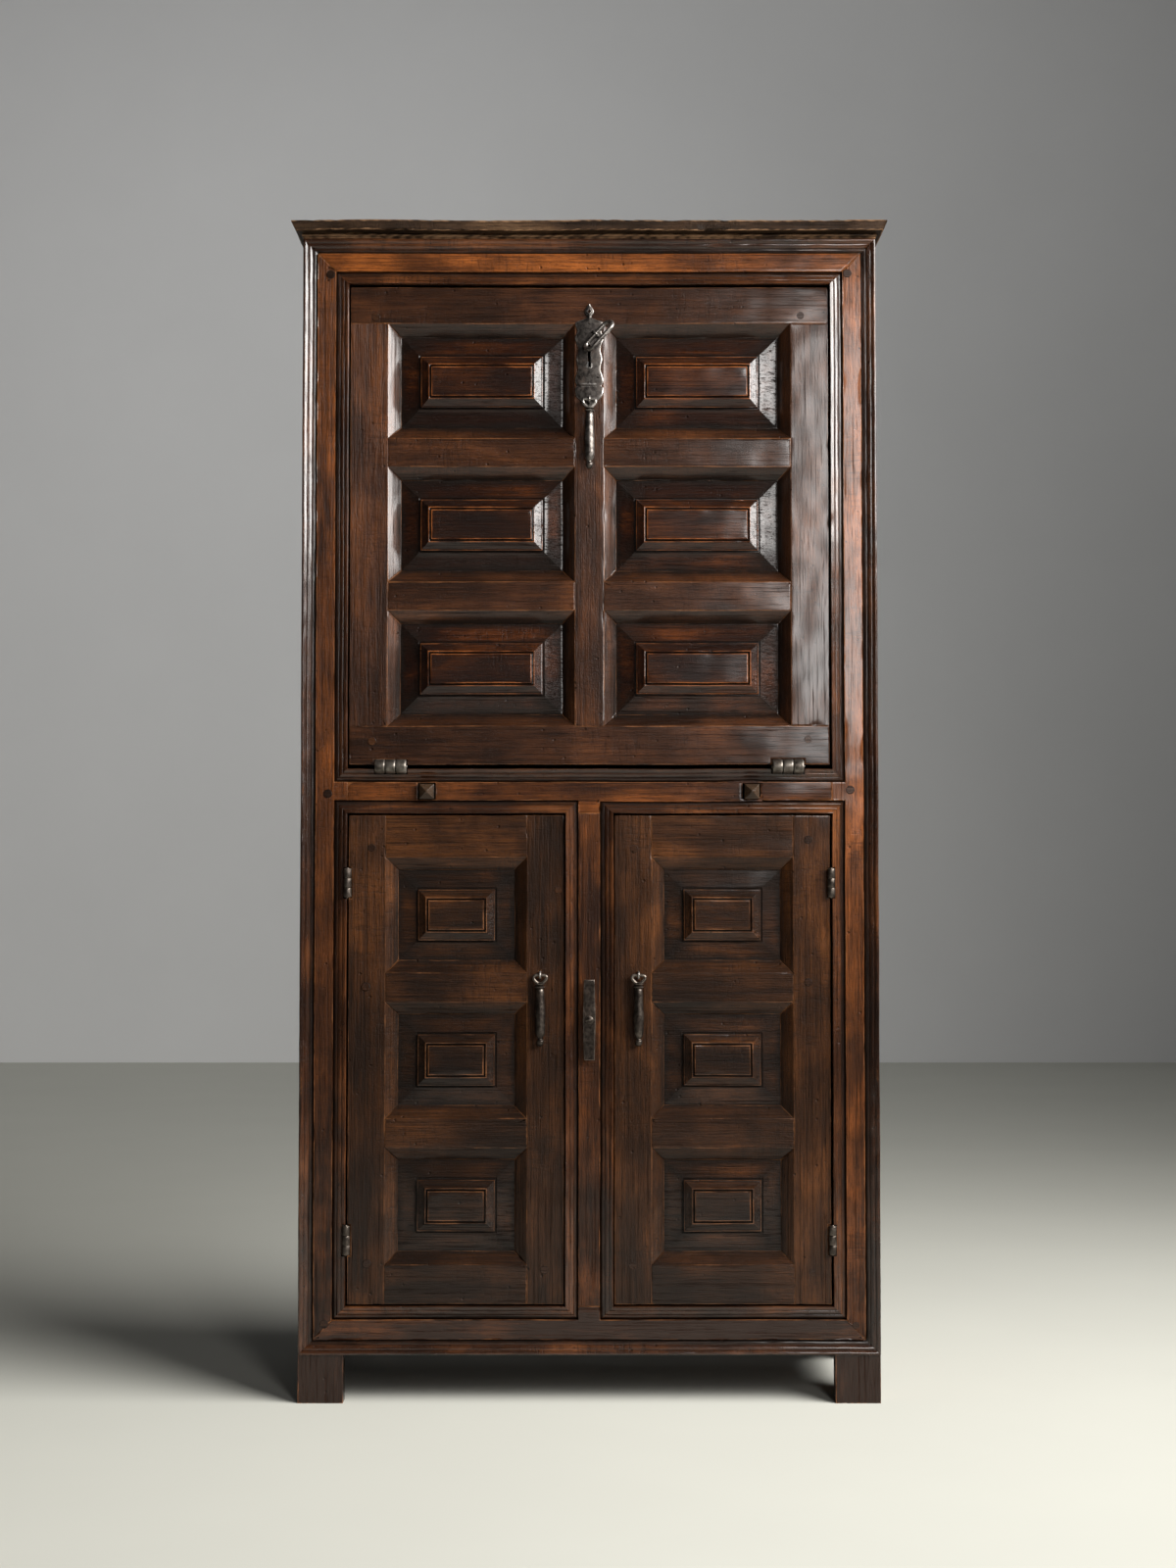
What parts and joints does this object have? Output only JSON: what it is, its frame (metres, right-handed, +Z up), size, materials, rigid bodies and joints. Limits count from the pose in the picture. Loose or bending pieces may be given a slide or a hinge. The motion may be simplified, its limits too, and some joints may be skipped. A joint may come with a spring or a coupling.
{
  "type": "fall-front cabinet",
  "caption": "Wooden fall-front cabinet: a panelled flap that drops onto sliding lopers, over panelled doors, with reeded mouldings, iron hinges, drop handles and a lock plate.",
  "frame": {"origin": "centre of the footprint of the whole object, on the floor under the feet", "axes": "+Z up, +X to the viewer's right, the front with the fall and the doors faces -Y"},
  "size_m": [0.912, 0.438, 1.7945],
  "materials": {
    "frame_wood": "waxed dark walnut, worn orange-brown on the faces",
    "moulding_wood": "waxed, blackened in the reeds",
    "panel_wood": "waxed, worn along the arrises",
    "plank_wood": "dry, oiled boards",
    "iron": "dark wrought iron with rubbed edges"
  },
  "bodies": {
    "case": {"cornice": "frame_wood", "side_left": "plank_wood", "side_right": "plank_wood", "front_post_left": "frame_wood", "front_post_right": "frame_wood", "top_rail": "frame_wood", "mid_rail": "frame_wood", "bottom_rail": "frame_wood", "centre_post": "frame_wood", "edge_moulding": "moulding_wood", "fall_opening_moulding": "moulding_wood", "left_door_moulding": "moulding_wood", "right_door_moulding": "moulding_wood", "back_boards": "plank_wood", "floor_board": "plank_wood", "desk_board": "plank_wood", "loper_batten": "plank_wood", "latch_screw": "iron", "fall_hinge_left_case_leaf": "iron", "fall_hinge_right_case_leaf": "iron", "left_door_upper_hinge_case_leaf": "iron", "left_door_lower_hinge_case_leaf": "iron", "right_door_upper_hinge_case_leaf": "iron", "right_door_lower_hinge_case_leaf": "iron"},
    "fall_front": {"fall_top_rail": "frame_wood", "fall_bottom_rail": "frame_wood", "fall_stile_left": "frame_wood", "fall_stile_right": "frame_wood", "fall_muntin_and_cross_rails": "frame_wood", "fall_panel_left_1": "panel_wood", "fall_panel_left_2": "panel_wood", "fall_panel_left_3": "panel_wood", "fall_panel_right_1": "panel_wood", "fall_panel_right_2": "panel_wood", "fall_panel_right_3": "panel_wood", "lock_plate": "iron", "lock_case": "iron", "fall_hinge_left_leaf": "iron", "fall_hinge_right_leaf": "iron"},
    "fall_handle": {"fall_handle": "iron"},
    "lock_ring": {"lock_ring": "iron"},
    "left_door": {"left_door_frame": "frame_wood", "left_door_panel_1": "panel_wood", "left_door_panel_2": "panel_wood", "left_door_panel_3": "panel_wood", "left_door_upper_hinge_leaf": "iron", "left_door_lower_hinge_leaf": "iron", "left_handle_staple": "iron"},
    "left_handle": {"left_handle": "iron"},
    "right_door": {"right_door_frame": "frame_wood", "right_door_panel_1": "panel_wood", "right_door_panel_2": "panel_wood", "right_door_panel_3": "panel_wood", "right_door_upper_hinge_leaf": "iron", "right_door_lower_hinge_leaf": "iron", "right_handle_staple": "iron"},
    "right_handle": {"right_handle": "iron"},
    "turn_latch": {"turn_latch": "iron"},
    "left_loper": {"left_loper": "frame_wood"},
    "right_loper": {"right_loper": "frame_wood"}
  },
  "joints": [
    {"name": "fall_front_hinge", "type": "hinge", "parent": "case", "child": "fall_front", "pos_m": [0, -0.2, 0.95925], "axis": [1, 0, 0], "range_deg": [0, 96.7]},
    {"name": "fall_handle_pivot", "type": "hinge", "parent": "fall_front", "child": "fall_handle", "pos_m": [0, -0.2058, 1.5215], "axis": [-1, 0, 0], "range_deg": [0, 80]},
    {"name": "lock_ring_pivot", "type": "hinge", "parent": "fall_front", "child": "lock_ring", "pos_m": [0.0095, -0.2025, 1.6225], "axis": [-0.6691, 0, -0.7431], "range_deg": [0, 70]},
    {"name": "left_door_hinge", "type": "hinge", "parent": "case", "child": "left_door", "pos_m": [-0.367, -0.199, 0.5165], "axis": [0, 0, -1], "range_deg": [0, 115]},
    {"name": "left_handle_pivot", "type": "hinge", "parent": "left_door", "child": "left_handle", "pos_m": [-0.0745, -0.2035, 0.643], "axis": [-1, 0, 0], "range_deg": [0, 80]},
    {"name": "right_door_hinge", "type": "hinge", "parent": "case", "child": "right_door", "pos_m": [0.367, -0.199, 0.5165], "axis": [0, 0, 1], "range_deg": [0, 115]},
    {"name": "right_handle_pivot", "type": "hinge", "parent": "right_door", "child": "right_handle", "pos_m": [0.0745, -0.2035, 0.643], "axis": [-1, 0, 0], "range_deg": [0, 80]},
    {"name": "turn_latch_pivot", "type": "hinge", "parent": "case", "child": "turn_latch", "pos_m": [0, -0.2052, 0.5755], "axis": [0, 1, 0], "range_deg": [-90, 90]},
    {"name": "left_loper_slide", "type": "slide", "parent": "case", "child": "left_loper", "axis": [0, -1, 0], "range_m": [0, 0.255]},
    {"name": "right_loper_slide", "type": "slide", "parent": "case", "child": "right_loper", "axis": [0, -1, 0], "range_m": [0, 0.255]}
  ]
}
